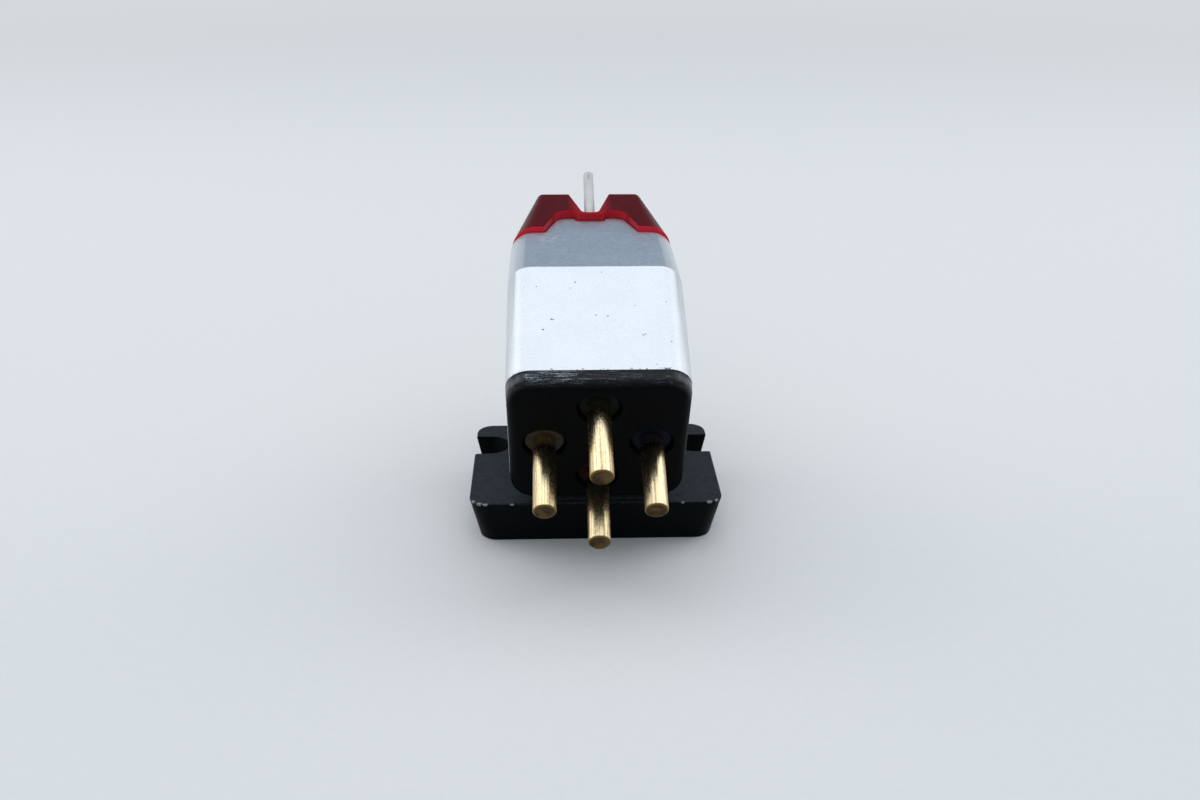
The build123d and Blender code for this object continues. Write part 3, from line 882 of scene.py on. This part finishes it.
@dataclass(frozen=True)
class WoundCopper:
    """Enamelled copper wire, layer wound across the axis."""

    tone: Triple = (0.72, 0.30, 0.12)
    gap: Triple = (0.25, 0.08, 0.03)
    turns: float = 14.0

    def material(self) -> bpy.types.Material:
        """Builds the finish.

        Returns:
            The material.
        """
        g = Graph("winding_copper")
        place = g.place(tilted=True)
        wave = g.add("ShaderNodeTexWave", {"wave_type": "BANDS", "bands_direction": "Y"},
                     {"Vector": place, "Scale": self.turns / 6.28, "Distortion": 0.4}, "Fac")
        colour = g.blend(wave, self.gap, self.tone)
        return g.shade(Base_Color=colour, Metallic=0.85, Roughness=0.42 - wave * 0.15,
                       Normal=g.bump(wave, 0.03, 0.7))


@dataclass(frozen=True)
class ClearDiamond:
    """Pale ground diamond of the stylus."""

    tone: Triple = (0.90, 0.91, 0.89)
    shadow: Triple = (0.76, 0.77, 0.74)

    def material(self) -> bpy.types.Material:
        """Builds the finish.

        Returns:
            The material.
        """
        g = Graph("diamond")
        cloud = g.noise(g.place(), 9.0, 2.0)
        return g.shade(Base_Color=g.blend(cloud, self.shadow, self.tone), Roughness=0.08 + cloud * 0.08,
                       IOR=1.5)


@dataclass(frozen=True)
class PaperFloor:
    """Pale matt paper under the object, even in tone far from it."""

    tone: Triple = (0.875, 0.84, 0.795)
    shadow: Triple = (0.834, 0.80, 0.757)
    far_tone: Triple = (0.655, 0.69, 0.715)
    near: float = 80.0
    far: float = 290.0

    def material(self) -> bpy.types.Material:
        """Builds the finish.

        Returns:
            The material.
        """
        g = Graph("floor_paper")
        place = g.place()
        fibre = g.noise(place, 1.6, 4.0, 0.65)
        away = g.distance(g.stretch(place, (1.0, 1.0, 0.0)), (0.0, 0.0, 0.0))
        g.glow(away.fade(self.near, self.far) * g.seen(), self.far_tone)
        return g.shade(Base_Color=g.blend(fibre, self.shadow, self.tone), Roughness=0.9,
                       Specular_IOR_Level=0.2, Normal=g.bump(fibre, 0.05, 0.3))


@dataclass
class Mount:
    """Die-cast flange with side-open screw slots and the wedge that carries the shell."""

    half_width: float = 7.295
    front: float = 2.9
    ledge: float = 0.15
    corner: float = 1.0
    draft: float = 12.0
    edge: float = 0.12
    slot_x: float = 6.35
    slot_radius: float = 1.2
    wedge_half: float = 3.75
    wedge_setback: float = 1.0
    wedge_sunk: float = 0.4

    def build(self) -> Shape:
        """Models the casting.

        Returns:
            The shape, in millimetres.
        """
        belly = LAYOUT.point(0, 0, -LAYOUT.below)
        rear = belly.y - self.ledge
        top = LAYOUT.plate
        plate = Shape.block((-self.half_width, rear, 0), (self.half_width, self.front, top))
        taper = top * math.tan(math.radians(self.draft))
        length = self.front - rear
        share = (1 - taper / self.half_width, 1 - 2 * taper / length, 1)
        plate.pick(Pick.POINTS, lambda p: p.z < top / 2).widen(share, (0, (rear + self.front) / 2, 0))
        plate.pick(Pick.EDGES, lambda a, b: abs(a.z - b.z) > top / 2).bevel(self.corner, segments=10)
        plate.pick(Pick.EDGES, lambda a, b: min(a.z, b.z) > top - NEAR).bevel(self.edge, segments=4)
        for side in (-1, 1):
            ends = sorted((side * self.slot_x, side * (self.half_width + 1)))
            plate.cut(Shape.block((ends[0], -self.slot_radius, -1), (ends[1], self.slot_radius, top + 1)),
                      Shape.rod(self.slot_radius, -2, top + 3, (side * self.slot_x, 0), upright=True))
        wedge_front = LAYOUT.front_y - self.wedge_setback
        wedge = Shape.block((-self.wedge_half, belly.y, top - self.wedge_sunk),
                            (self.wedge_half, wedge_front, LAYOUT.belly_z(wedge_front) + 1))
        wedge.slice(belly, (0, -LAYOUT.sine, LAYOUT.cosine))
        return plate.fuse(wedge).soften(width=0.07, angle=32)

    def dress(self) -> None:
        """Finishes the flange."""
        self.build().finish("flange_casting", BlackCasting().material(), "cartridge",
                            ["mounting_flange"], "flange_black")


@dataclass
class Tongue:
    """Tongue of the shell's level face, which the holder's recess follows."""

    length: float = 3.12
    base_half: float = 2.8
    tip_half: float = 1.95
    corner: float = 0.92
    dip_half: float = 0.95
    dip_depth: float = 0.62
    dip_corner: float = 0.28

    def build(self, low: float, high: float, margin: float = 0.0, back: float = 0.6) -> Shape:
        """Models the tongue as a block.

        Args:
            low: Lower level.
            high: Upper level.
            margin: Distance that it grows by on all sides.
            back: Length behind the shell's front plane.

        Returns:
            The shape, in millimetres.
        """
        front = LAYOUT.front_y
        tip = front + self.length + margin
        base = self.base_half + margin
        shape = Shape.block((-base, front - back, low), (base, tip, high))
        shape.slice(Vector((0, front, 0)), (0, 1, 0), keep_all=True)
        share = (self.tip_half + margin) / base
        shape.pick(Pick.POINTS, lambda p: p.y > tip - NEAR).widen((share, 1, 1))
        lean = math.degrees(math.atan((self.base_half - self.tip_half) / self.length))
        reach = (self.corner + margin) * math.tan(math.radians(90 - lean) / 2)
        shape.pick(Pick.EDGES, lambda a, b: min(a.y, b.y) > tip - NEAR and abs(a.x - b.x) < NEAR
                   ).bevel(reach, segments=12)
        half = self.dip_half - margin
        dip = Shape.block((-half, tip - self.dip_depth, low - 1), (half, tip + 1, high + 1))
        dip.pick(Pick.EDGES, lambda a, b: max(a.y, b.y) < tip and abs(a.z - b.z) > 0.5
                 ).bevel(self.dip_corner, segments=8)
        shape.cut(dip)
        shape.pick(Pick.EDGES, lambda a, b: min(a.y, b.y) > tip - NEAR and abs(a.z - b.z) > 0.1
                   and abs(a.x) < half + 0.05).bevel(self.dip_corner, segments=8)
        return shape


@dataclass
class Body:
    """Silver shell: a tilted box, cut level under the stylus, with a tongue over the holder."""

    edge: float = 1.35
    belly_edge: float = 1.5
    groove_radius: float = 0.6
    overrun: float = 26.0
    tongue: Tongue = field(default_factory=Tongue)

    def build(self) -> Shape:
        """Models the shell.

        Returns:
            The shape, in millimetres.
        """
        half, wall = LAYOUT.half_width, LAYOUT.wall
        front, level = LAYOUT.front_y, LAYOUT.fold.z
        box = Shape.block((-half, LAYOUT.plug_proud, -LAYOUT.below),
                          (half, self.overrun, LAYOUT.above)).tilted()
        box.slice(Vector((0, 0, level)), UP).slice(Vector((0, front, 0)), AHEAD)
        flank = 2 * half - NEAR
        box.pick(Pick.EDGES, lambda a, b: abs(a.x + b.x) > flank and max(a.z, b.z) > level - NEAR
                 and abs(a.y - b.y) > NEAR).bevel(self.edge, segments=12)
        box.pick(Pick.EDGES, lambda a, b: abs(a.x + b.x) > flank
                 and max(self._height(a), self._height(b)) < NEAR - LAYOUT.below
                 ).bevel(self.belly_edge, segments=12)
        core = Shape.block((wall - half, -1, wall - LAYOUT.below),
                           (half - wall, self.overrun, LAYOUT.above - wall)).tilted()
        core.slice(Vector((0, 0, level - wall)), UP)
        box.cut(core)
        shelf = self.tongue.build(level - wall, level)
        groove = Shape.rod(self.groove_radius, LAYOUT.pivot_depth, LAYOUT.axis_length).tilted()
        return box.fuse(shelf.cut(groove)).soften(width=0.06, angle=20)

    @staticmethod
    def _height(place: Vector) -> float:
        """Height of a point over the tilted axis."""
        step = place - LAYOUT.rear
        return step.z * LAYOUT.cosine - step.y * LAYOUT.sine

    def dress(self) -> None:
        """Finishes the shell."""
        self.build().finish("shell_skin", SatinSilver().material(), "cartridge",
                            ["body_shell"], "shell_silver")


class Terminal(Enum):
    """Terminals of the plug, with their places across the face in pin pitches."""

    RIGHT = (1, 0)
    TOP = (0, 1)
    LEFT = (-1, 0)
    BOTTOM = (0, -1)

    @property
    def key(self) -> str:
        """Name of the terminal in the frame."""
        return self.name.lower()

    @property
    def step(self) -> Triple:
        """Way from the plug's middle to the terminal."""
        return (self.value[0] * RearPlug.ring, 0.0, self.value[1] * RearPlug.ring)


@dataclass
class RearPlug:
    """Black plug in the shell's rear, with four terminals in a diamond."""

    step: float = 0.05
    edge: float = 0.5
    ring: float = 2.9
    bore_radius: float = 1.2
    bore_depth: float = 0.5
    disc_gap: float = 0.15
    disc_thickness: float = 0.25
    disc_rim: float = 0.16
    disc_dish: float = 0.03
    pin_radius: float = 0.625
    pin_exposed: float = 4.5
    pin_chamfer: float = 0.13
    pin_root: float = 0.35
    pin_dimple: tuple[tuple[float, float], ...] = ((0.05, 0.0), (0.12, 0.02), (0.15, 0.012))
    spigot: float = 2.3
    fit: float = 0.01
    # Disc colours far darker than their paints, as painted shade in the counterbores; the white disc is
    # painted dark brown
    shade_darkened_colours: dict[str, tuple[str, Triple]] = field(default_factory=lambda: {
        "right": ("disc_blue", (0.003, 0.006, 0.018)),
        "top": ("disc_green", (0.0025, 0.007, 0.004)),
        "left": ("disc_white", (0.052, 0.039, 0.025)),
        "bottom": ("disc_red", (0.022, 0.0016, 0.0015))})

    def build(self) -> Shape:
        """Models the plug with its counterbores.

        Returns:
            The shape, in millimetres.
        """
        half = LAYOUT.half_width - self.step
        body = Body()
        plug = Shape.block((-half, 0, self.step - LAYOUT.below),
                           (half, LAYOUT.plug_proud, LAYOUT.above - self.step))
        for side, edge in ((1, body.edge), (-1, body.belly_edge)):
            plug.pick(Pick.EDGES, lambda a, b: abs(a.y - b.y) > LAYOUT.plug_proud / 2 and a.z * side > 0
                      ).bevel(edge - self.step, segments=12)
        plug.pick(Pick.EDGES, lambda a, b: max(a.y, b.y) < NEAR).bevel(self.edge, segments=8)
        plug.faces(AHEAD).inset(LAYOUT.wall)
        plug.faces(AHEAD, 1.0).extrude((0, self.spigot, 0))
        for terminal in Terminal:
            plug.cut(Shape.rod(self.bore_radius, -1, self.bore_depth, terminal.step[::2]))
        return plug.soften(width=0.05, angle=40, segments=2).tilted()

    def pin(self) -> Shape:
        """Models one pin on the axis, from its root to its chamfered end.

        Returns:
            The shape, in millimetres.
        """
        pin = Shape.rod(self.pin_radius, -self.pin_exposed, self.bore_depth - self.disc_thickness)
        tip = 0.1 - self.pin_exposed
        pin.pick(Pick.EDGES, lambda a, b: max(a.y, b.y) < tip).bevel(self.pin_chamfer, segments=1)
        for ring, sink in self.pin_dimple:
            pin.faces(BEHIND, 0.1).inset(ring, sink)
        pin.faces(AHEAD).inset(self.pin_radius - self.pin_root)
        pin.faces(AHEAD, 0.1).extrude((0, LAYOUT.plug_proud + self.spigot, 0))
        return pin.soften(width=0.025, angle=30, segments=2)

    def disc(self) -> Shape:
        """Models one colour disc, slightly dished, with the hole for a pin's root.

        Returns:
            The shape, in millimetres.
        """
        radius = self.bore_radius - self.disc_gap
        disc = Shape.rod(radius, self.bore_depth - self.disc_thickness, self.bore_depth)
        disc.faces(BEHIND).inset(self.disc_rim, self.disc_dish)
        disc.cut(Shape.rod(self.pin_root + self.fit, -1, 1))
        return disc.soften(width=0.02, angle=30, segments=2)

    def dress(self) -> None:
        """Finishes the plug, the pins and the discs."""
        self.build().finish("plug_moulding", BlackMoulding().material(), "cartridge",
                            ["rear_plug"], "plug_black")
        gold = DrawnGold().material()
        first_pin, first_disc = self.pin(), self.disc()
        for terminal in Terminal:
            key = terminal.key
            first_pin.copy(terminal.step).tilted().finish(
                f"pin_{key}", gold, "cartridge", [f"terminal_pin_{key}"], "pin_gold")
            slot, colour = self.shade_darkened_colours[key]
            first_disc.copy(terminal.step).tilted().finish(
                f"disc_{key}", DiscPaint(slot, colour).material(), "cartridge",
                [f"colour_disc_{key}"], slot)
        for pattern in (first_pin, first_disc):
            bpy.data.objects.remove(pattern.obj)


@dataclass
class StylusHolder:
    """Red holder with two cheeks, a notch over the cantilever and a plug into the shell."""

    gap: float = 0.08
    proud: float = 0.35
    length: float = 6.65
    rise: float = 3.0
    base_half: float = 4.8
    nose_half: float = 3.325
    nose_lean: float = 0.6
    nose_depth: float = 5.9
    base_edge: float = 1.4
    nose_edge: float = 0.4
    corner: float = 0.25
    apex: float = 2.8
    apex_half: float = 0.5
    mouth_half: float = 1.35
    notch_depth: float = 4.1
    plug_half: float = 1.3
    plug_length: float = 3.1
    plug_height: float = 4.4
    plug_drop: float = 0.4
    bore_radius: float = 1.01
    tunnel_radius: float = 0.7
    bore_start: float = 11.105
    bore_end: float = 13.955
    notch_corner: float = 0.3

    def build(self) -> Shape:
        """Models the holder.

        Returns:
            The shape, in millimetres.
        """
        shell_front, level = LAYOUT.front_y, LAYOUT.fold.z
        back, front = shell_front + self.gap, shell_front + self.length
        top = level + self.proud
        bottom = LAYOUT.belly_z(back)
        nose_top = top + (front - back) * math.tan(math.radians(self.rise))
        block = Shape.block((-self.base_half, back, bottom), (self.base_half, front, top))
        block.pick(Pick.EDGES, lambda a, b: min(a.z, b.z) > top - NEAR and abs(a.y - b.y) > 1).bevel(
            self.base_edge, segments=12)
        shrink = self.nose_edge / self.base_edge * self.base_half / self.nose_half
        for side in (-1, 1):
            block.pick(Pick.POINTS, lambda p: p.y > front - NEAR and p.z > top - self.base_edge - NEAR
                       and p.x * side > self.base_half - self.base_edge - NEAR).widen(
                (shrink, 1, self.nose_edge / self.base_edge), (side * self.base_half, front, top))
        block.pick(Pick.POINTS, lambda p: p.y > front - NEAR and p.z > top - 1).move((0, 0, nose_top - top))
        block.pick(Pick.POINTS, lambda p: p.y > front - NEAR and p.z < top - 1).move(
            (0, -self.nose_lean, nose_top - self.nose_depth - bottom))
        block.pick(Pick.POINTS, lambda p: p.y > front - 1).widen((self.nose_half / self.base_half, 1, 1))
        block.pick(Pick.EDGES, lambda a, b: min(a.y, b.y) > front - 1).bevel(self.corner, segments=6)
        plug_top = level - LAYOUT.wall - self.plug_drop
        block.fuse(Shape.block((-self.plug_half, shell_front - self.plug_length, plug_top - self.plug_height),
                               (self.plug_half, back + 2, plug_top)))
        recess = Tongue().build(level - LAYOUT.wall - self.gap, top + 2, self.gap, 1.0)
        apex = shell_front + self.apex
        notch = Shape.block((-self.apex_half, apex, nose_top - self.notch_depth),
                            (self.apex_half, front, top + 2))
        notch.pick(Pick.POINTS, lambda p: p.y > front - NEAR).widen((self.mouth_half / self.apex_half, 1, 1))
        notch.faces(AHEAD).extrude(AHEAD)
        notch.pick(Pick.EDGES, lambda a, b: max(a.y, b.y) < apex + NEAR and abs(a.z - b.z) > 1
                   ).bevel(self.notch_corner, segments=6)
        bore = Shape.rod(self.bore_radius, self.bore_start - 1, self.bore_end).tilted()
        tunnel = Shape.rod(self.tunnel_radius, self.bore_end - 0.1, self.bore_end + 5).tilted()
        return block.cut(recess, notch, bore, tunnel).soften(width=0.07, angle=32)

    def dress(self) -> None:
        """Finishes the holder."""
        self.build().finish("holder_moulding", RubyPlastic().material(), "stylus_unit",
                            ["stylus_holder"], "holder_red")


@dataclass
class Suspension:
    """Sleeve, rubber ring, cantilever tube and diamond along the tilted axis."""

    sleeve_radius: float = 1.0
    sleeve_bore: float = 0.78
    sleeve_start: float = 11.105
    sleeve_end: float = 13.955
    damper_radius: float = 0.70
    damper_bore: float = 0.405
    damper_half: float = 0.3
    tube_radius: float = 0.325
    tube_wall: float = 0.08
    tube_start: float = 12.005
    tube_hollow: float = 1.5
    overhang: float = 0.75
    diamond_radius: float = 0.12
    diamond_shank: float = 0.1
    diamond_height: float = 0.35
    diamond_point: float = 0.025

    @staticmethod
    def ring(radius: float, bore: float, start: float, end: float) -> Shape:
        """Models a plain ring on the axis."""
        return Shape.rod(radius, start, end).cut(Shape.rod(bore, start - 1, end + 1))

    def tube(self) -> Shape:
        """Models the cantilever, hollow at its open end.

        Returns:
            The shape, in millimetres.
        """
        end = LAYOUT.axis_length + self.overhang
        tube = Shape.rod(self.tube_radius, self.tube_start, end, sides=48)
        tube.faces(AHEAD).inset(self.tube_wall)
        tube.faces(AHEAD, NEAR).extrude((0, -self.tube_hollow, 0))
        return tube.soften(width=0.02, angle=40, segments=2).tilted()

    def diamond(self) -> Shape:
        """Models the diamond: a shank in the tube and a ground cone.

        Returns:
            The shape, in millimetres.
        """
        seat = LAYOUT.point(0, LAYOUT.axis_length, 0).z
        top = seat + self.tube_radius / LAYOUT.cosine + self.diamond_shank
        diamond = Shape.rod(self.diamond_radius, seat, top, (0, LAYOUT.reach), sides=32, upright=True)
        diamond.faces(UP).extrude((0, 0, self.diamond_height - self.diamond_shank))
        share = self.diamond_point / self.diamond_radius
        diamond.pick(Pick.POINTS, lambda p: p.z > top + 0.05).widen((share, share, 1), (0, LAYOUT.reach, top))
        return diamond

    def dress(self) -> None:
        """Finishes the pieces of the suspension."""
        sleeve = self.ring(self.sleeve_radius, self.sleeve_bore, self.sleeve_start, self.sleeve_end
                           ).soften(width=0.03, angle=40, segments=2).tilted()
        brass = MetalFinish("sleeve_brass", (0.78, 0.58, 0.26), (0.55, 0.38, 0.15), 0.3)
        sleeve.finish("sleeve_tube", brass.material(), "stylus_unit", ["stylus_sleeve"], "sleeve_brass")
        pivot = LAYOUT.pivot_depth
        damper = self.ring(self.damper_radius, self.damper_bore, pivot - self.damper_half,
                           pivot + self.damper_half).soften(width=0.06, angle=40).tilted()
        rubber = PlainPolymer("damper_rubber", (0.02, 0.02, 0.021), (0.012, 0.012, 0.012), 0.75)
        damper.finish("damper_ring", rubber.material(), "suspension", ["rubber_damper"], "damper_rubber")
        alloy = MetalFinish("cantilever_aluminium", (0.73, 0.705, 0.67), (0.64, 0.62, 0.59), 0.68,
                            grain=(9.0, 0.6, 9.0))
        self.tube().finish("cantilever_pipe", alloy.material(), "cantilever", ["cantilever_tube"],
                           "cantilever_aluminium")
        self.diamond().finish("diamond_point", ClearDiamond().material(), "cantilever",
                              ["diamond_tip"], "diamond")


@dataclass
class Generator:
    """Inner pieces that keep their CAD solids and take a finish."""

    coats: tuple[tuple[tuple[str, ...], MetalFinish | PlainPolymer | WoundCopper], ...] = (
        (("yoke", "pole_left", "pole_right"),
         MetalFinish("pole_iron", (0.55, 0.54, 0.53), (0.38, 0.37, 0.36), 0.35)),
        (("channel_screen",), MetalFinish("screen_steel", (0.60, 0.61, 0.62), (0.45, 0.46, 0.47), 0.3)),
        (("ring_magnet",), MetalFinish("magnet_nickel", (0.66, 0.64, 0.60), (0.5, 0.48, 0.45), 0.25)),
        (("wire_anchor", "suspension_wire"),
         MetalFinish("anchor_steel", (0.62, 0.62, 0.63), (0.45, 0.45, 0.46), 0.3)),
        (("bobbin",), PlainPolymer("bobbin_plastic", (0.75, 0.72, 0.62), (0.62, 0.58, 0.48), 0.5)),
        (("pole_carrier",), PlainPolymer("carrier_black", (0.03, 0.03, 0.032), (0.018, 0.018, 0.02), 0.5)),
        (("winding",), WoundCopper()))

    def dress(self) -> None:
        """Gives each inner node its finish."""
        for starts, finish in self.coats:
            coat = finish.material()
            for name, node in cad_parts.items():
                if name.startswith(starts) and not node.hide_render:
                    node.data.materials.clear()
                    node.data.materials.append(coat)
                    log.info("%s: kept with finish %s", name, coat.name)


@dataclass(frozen=True)
class SoftLight:
    """Softbox aimed at the object, in millimetres."""

    name: str
    place: Triple
    width: float
    length: float
    radiance: float
    target: Triple = (0, 0, 8)
    tint: Triple = (1.0, 1.0, 1.0)

    def build(self) -> None:
        """Adds the lamp."""
        data = bpy.data.lights.new(self.name, "AREA")
        data.shape = "RECTANGLE"
        data.size, data.size_y = self.width * MM, self.length * MM
        data.energy = self.radiance * math.pi * data.size * data.size_y
        data.color = self.tint
        lamp = bpy.data.objects.new(self.name, data)
        bpy.context.scene.collection.objects.link(lamp)
        lamp.location = Vector(self.place) * MM
        lamp.rotation_euler = (Vector(self.target) - Vector(self.place)).to_track_quat("-Z", "Y").to_euler()


@dataclass(frozen=True)
class Studio:
    """Pale floor, soft light and the camera at the photograph's angle."""

    focal: float = 1249.95
    picture_width: float = 1200.0
    pitch: float = 23.796
    roll: float = 0.328
    yaw: float = 2.222
    offset: Triple = (-0.464, -5.159, 79.404)
    world: Triple = (0.172, 0.245, 0.330)
    floor_radius: float = 900.0
    floor_curve: float = 320.0
    floor_turns: int = 10
    floor_turn: float = 8.0
    sensor: float = 36.0
    lights: tuple[SoftLight, ...] = (
        SoftLight("ceiling", (0, 0, 900), 2800, 2800, 0.34, tint=(0.94, 1.0, 1.06)),
        SoftLight("overhead", (0, 48, 210), 440, 210, 0.75, (0, 48, 0)),
        SoftLight("left_wing", (-290, 115, 150), 240, 230, 1.2),
        SoftLight("right_wing", (290, 115, 150), 240, 230, 1.05),
        SoftLight("rear_fill", (-60, -260, 170), 160, 160, 0.6))

    def camera(self) -> None:
        """Adds the camera from its fitted angles and offsets."""
        pitch, roll, yaw = (math.radians(angle) for angle in (self.pitch, self.roll, self.yaw))
        level = Matrix.Rotation(-yaw, 3, "Z") @ Matrix.Rotation(math.pi / 2 - pitch, 3, "X")
        right, up, ahead = self.offset
        place = -(level @ Vector((right, up, -ahead)))
        data = bpy.data.cameras.new("photo_camera")
        data.sensor_width = self.sensor
        data.lens = self.focal / self.picture_width * self.sensor
        data.clip_start, data.clip_end = 1 * MM, 10
        camera = bpy.data.objects.new("photo_camera", data)
        bpy.context.scene.collection.objects.link(camera)
        turned = level @ Matrix.Rotation(roll, 3, "Z")
        camera.matrix_world = Matrix.Translation(place * MM) @ turned.to_4x4()
        bpy.context.scene.camera = camera

    def floor(self) -> None:
        """Adds the paper floor, which curves up far from the object."""
        Shape.clear()
        bpy.ops.mesh.primitive_circle_add(vertices=128, radius=self.floor_radius, fill_type="NGON")
        floor = Shape(bpy.context.object)
        top, radius = 0.0, self.floor_radius
        for turn in range(1, self.floor_turns + 1):
            angle = math.radians(turn * self.floor_turn)
            height = self.floor_curve * (1 - math.cos(angle))
            wider = self.floor_radius + self.floor_curve * math.sin(angle)
            floor.pick(Pick.EDGES, lambda a, b: min(a.xy.length, b.xy.length) > radius - NEAR)
            floor.extrude((0, 0, height - top))
            floor.pick(Pick.POINTS, lambda point: point.z > (top + height) / 2)
            floor.widen((wider / radius, wider / radius, 1))
            top, radius = height, wider
        floor.obj.scale = (MM, MM, MM)
        floor.settle()
        bpy.ops.object.shade_smooth()
        floor.obj.name = "floor_paper"
        floor.obj.data.materials.append(PaperFloor().material())

    def build(self) -> None:
        """Sets up the whole studio."""
        self.camera()
        self.floor()
        for light in self.lights:
            light.build()
        world = bpy.data.worlds.new("studio")
        world.use_nodes = True
        world.node_tree.nodes["Background"].inputs["Color"].default_value = (*self.world, 1)
        bpy.context.scene.world = world
        bpy.context.scene.view_settings.view_transform = "Standard"


def main() -> None:
    """Builds and dresses the cartridge, then the studio."""
    logging.basicConfig(level=logging.INFO, format="%(name)s: %(message)s")
    for assembly in (Mount(), Body(), RearPlug(), StylusHolder(), Suspension(), Generator()):
        assembly.dress()
    Studio().build()


if __name__ == "__main__":
    main()
